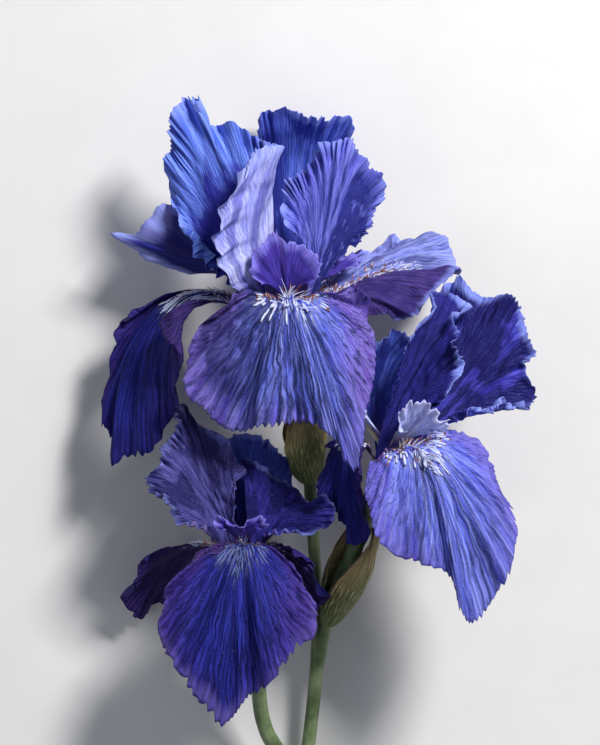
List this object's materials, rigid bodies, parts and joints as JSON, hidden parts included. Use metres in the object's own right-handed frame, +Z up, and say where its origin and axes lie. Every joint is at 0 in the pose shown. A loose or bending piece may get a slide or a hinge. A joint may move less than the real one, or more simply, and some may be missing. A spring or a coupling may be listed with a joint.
{
  "type": "cut bearded iris flower stalk",
  "caption": "Picked stalk of tall bearded iris with open violet-blue ruffled blooms, hairy beards on the falls and papery bracts, lying on its back.",
  "frame": {"origin": "middle of the laid stalk's box, on the surface that it lies on", "axes": "+Z up from the surface, towards the viewer that the blooms face; +Y along the stalk from its cut end to the top bloom; +X to the viewer's right"},
  "size_m": [0.185, 0.3406, 0.0856],
  "materials": {
    "stalk": "satin green stem with a pale bloom",
    "bract": "papery, ribbed, olive to tan with purple streaks",
    "fall": "velvety violet-blue with darker veins and a purple margin",
    "standard": "thin silky pale blue to lavender with fine veins",
    "style": "silky violet with a fringed crest",
    "beard": "fine white hairs with orange-brown tips",
    "stamen": "matt white thread with a cream anther"
  },
  "bodies": {
    "root": {"stalk": "stalk", "flower_tube_top": "stalk", "flower_tube_right": "stalk", "flower_tube_left": "stalk", "bract_front_top": "bract", "bract_back_top": "bract", "bract_front_right": "bract", "bract_back_right": "bract", "bract_back_left": "bract", "fall_front_top": "fall", "fall_left_top": "fall", "fall_right_top": "fall", "fall_front_right": "fall", "fall_left_right": "fall", "fall_back_right": "fall", "fall_front_left": "fall", "fall_right_left": "fall", "fall_back_left": "fall", "standard_left_top": "standard", "standard_right_top": "standard", "standard_back_top": "standard", "standard_left_right": "standard", "standard_right_right": "standard", "standard_back_right": "standard", "standard_left_left": "standard", "standard_right_left": "standard", "standard_back_left": "standard", "style_top": "style", "style_right": "style", "style_left": "style", "beard_fall_front_top": "beard", "beard_fall_left_top": "beard", "beard_fall_right_top": "beard", "beard_fall_front_right": "beard", "beard_fall_left_right": "beard", "beard_fall_back_right": "beard", "beard_fall_front_left": "beard", "beard_fall_right_left": "beard", "beard_fall_back_left": "beard", "stamen_0_top": "stamen", "stamen_248_top": "stamen", "stamen_108_top": "stamen", "stamen_25_right": "stamen", "stamen_260_right": "stamen", "stamen_146_right": "stamen", "stamen_350_left": "stamen", "stamen_112_left": "stamen", "stamen_230_left": "stamen"}
  },
  "joints": []
}
